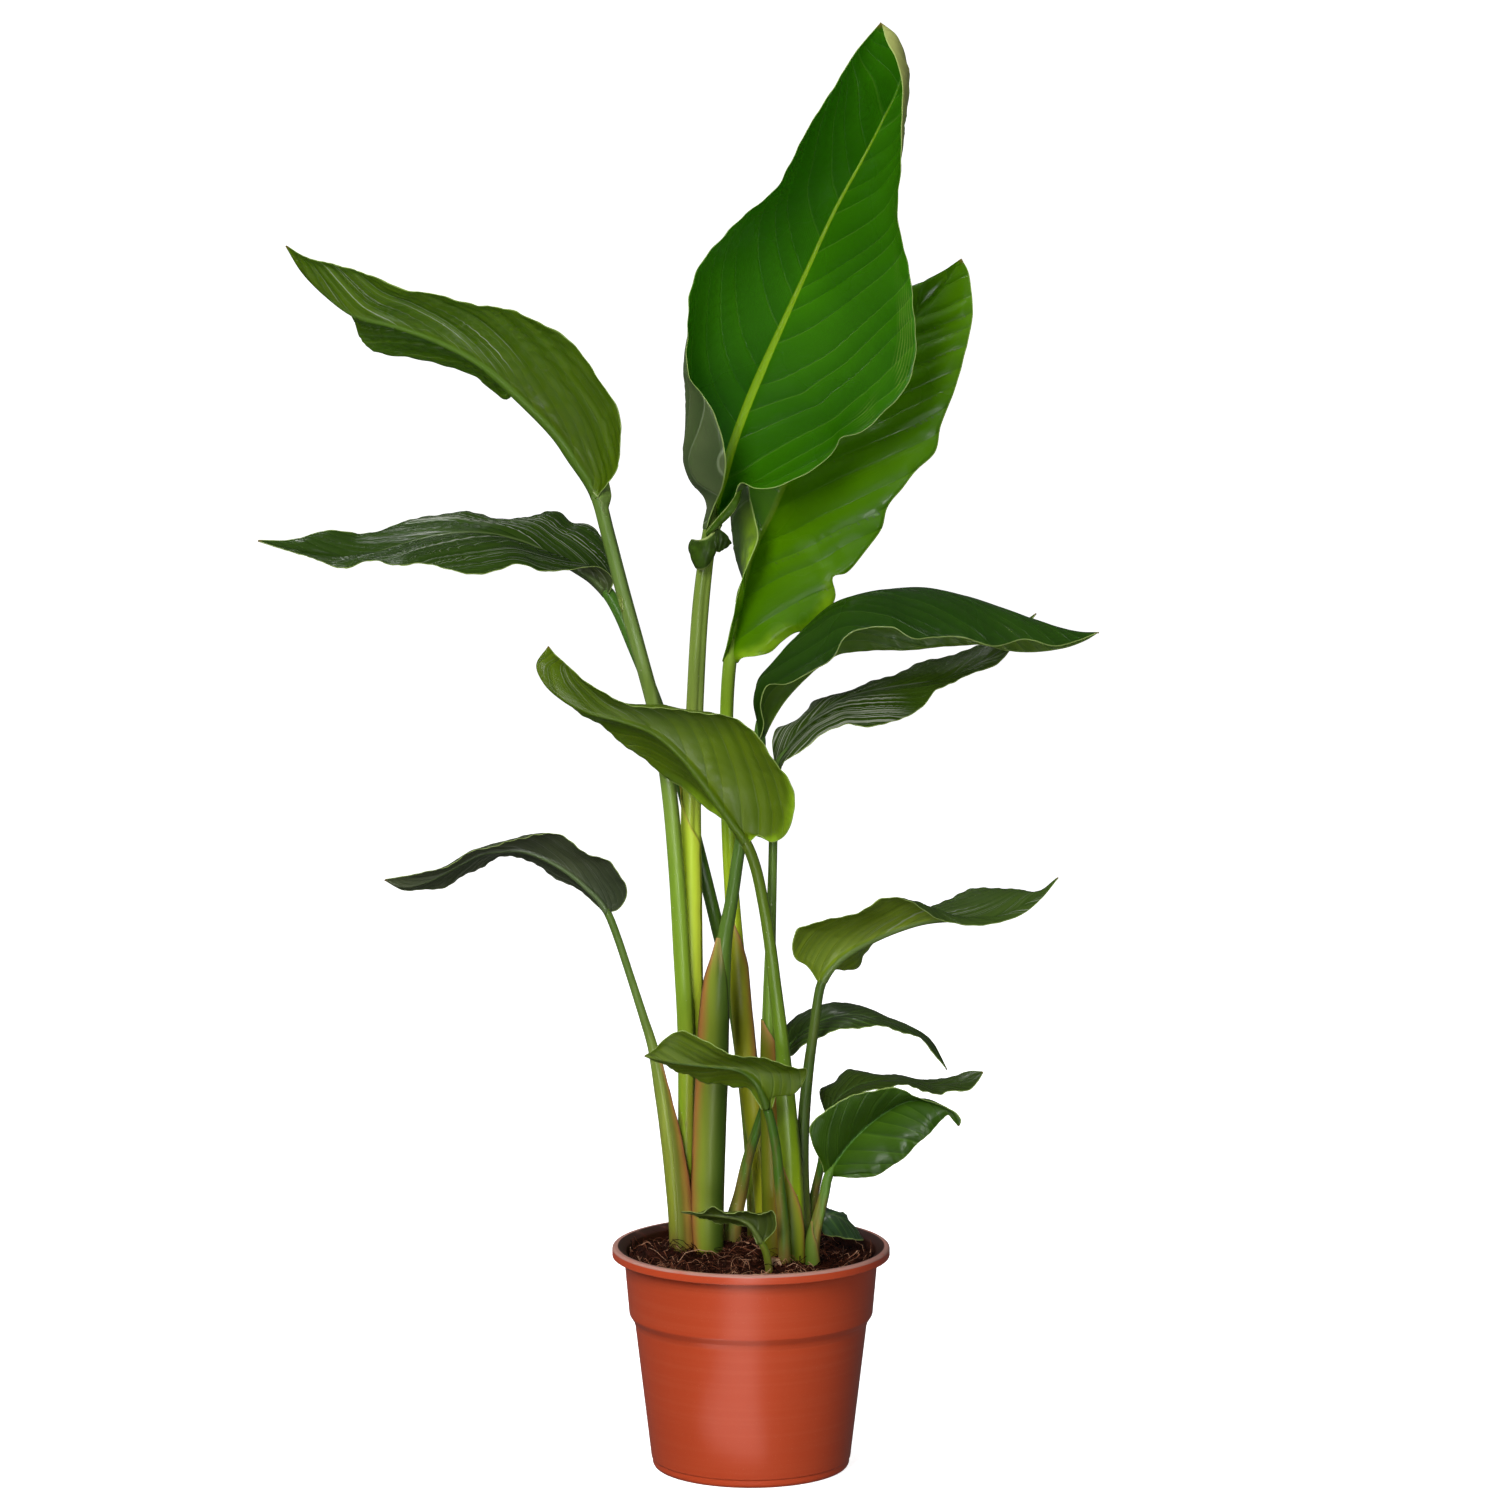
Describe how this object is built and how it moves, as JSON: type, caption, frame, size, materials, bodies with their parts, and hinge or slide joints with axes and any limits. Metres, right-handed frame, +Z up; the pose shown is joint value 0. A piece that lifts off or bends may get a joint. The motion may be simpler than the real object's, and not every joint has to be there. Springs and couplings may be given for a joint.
{
  "type": "potted bird of paradise plant",
  "caption": "Young bird of paradise houseplant: upright leaf stalks with broad glossy waved blades, rooted in coir potting mix in a round tapered plastic nursery pot.",
  "frame": {"origin": "middle of the pot's flat underside, where the pot rests", "axes": "+Z up the plant, +X to the right and +Y away in the picture's view"},
  "size_m": [0.5074, 0.1746, 0.8789],
  "materials": {
    "pot_plastic": "satin terracotta coloured moulded plastic",
    "potting_mix": "loose dark red-brown coir mix with tan fibres",
    "leaf_stalk": "smooth waxy green, yellow-green and reddish at the sheaths",
    "leaf_blade": "glossy leathery green with fine side veins and a pale rib"
  },
  "bodies": {
    "root": {"pot": "pot_plastic", "soil": "potting_mix", "leaf_01_stalk": "leaf_stalk", "leaf_01_blade": "leaf_blade", "leaf_02_stalk": "leaf_stalk", "leaf_02_blade": "leaf_blade", "leaf_03_stalk": "leaf_stalk", "leaf_03_blade": "leaf_blade", "leaf_04_stalk": "leaf_stalk", "leaf_04_blade": "leaf_blade", "leaf_05_stalk": "leaf_stalk", "leaf_05_blade": "leaf_blade", "leaf_06_stalk": "leaf_stalk", "leaf_06_blade": "leaf_blade", "leaf_07_stalk": "leaf_stalk", "leaf_07_blade": "leaf_blade", "leaf_08_stalk": "leaf_stalk", "leaf_08_blade": "leaf_blade", "leaf_09_stalk": "leaf_stalk", "leaf_09_blade": "leaf_blade", "leaf_10_stalk": "leaf_stalk", "leaf_10_blade": "leaf_blade", "leaf_11_stalk": "leaf_stalk", "leaf_11_blade": "leaf_blade", "leaf_12_stalk": "leaf_stalk", "leaf_12_blade": "leaf_blade", "leaf_13_stalk": "leaf_stalk", "leaf_13_blade": "leaf_blade", "leaf_14_stalk": "leaf_stalk", "leaf_14_blade": "leaf_blade", "leaf_15_stalk": "leaf_stalk", "leaf_15_blade": "leaf_blade"}
  },
  "joints": []
}
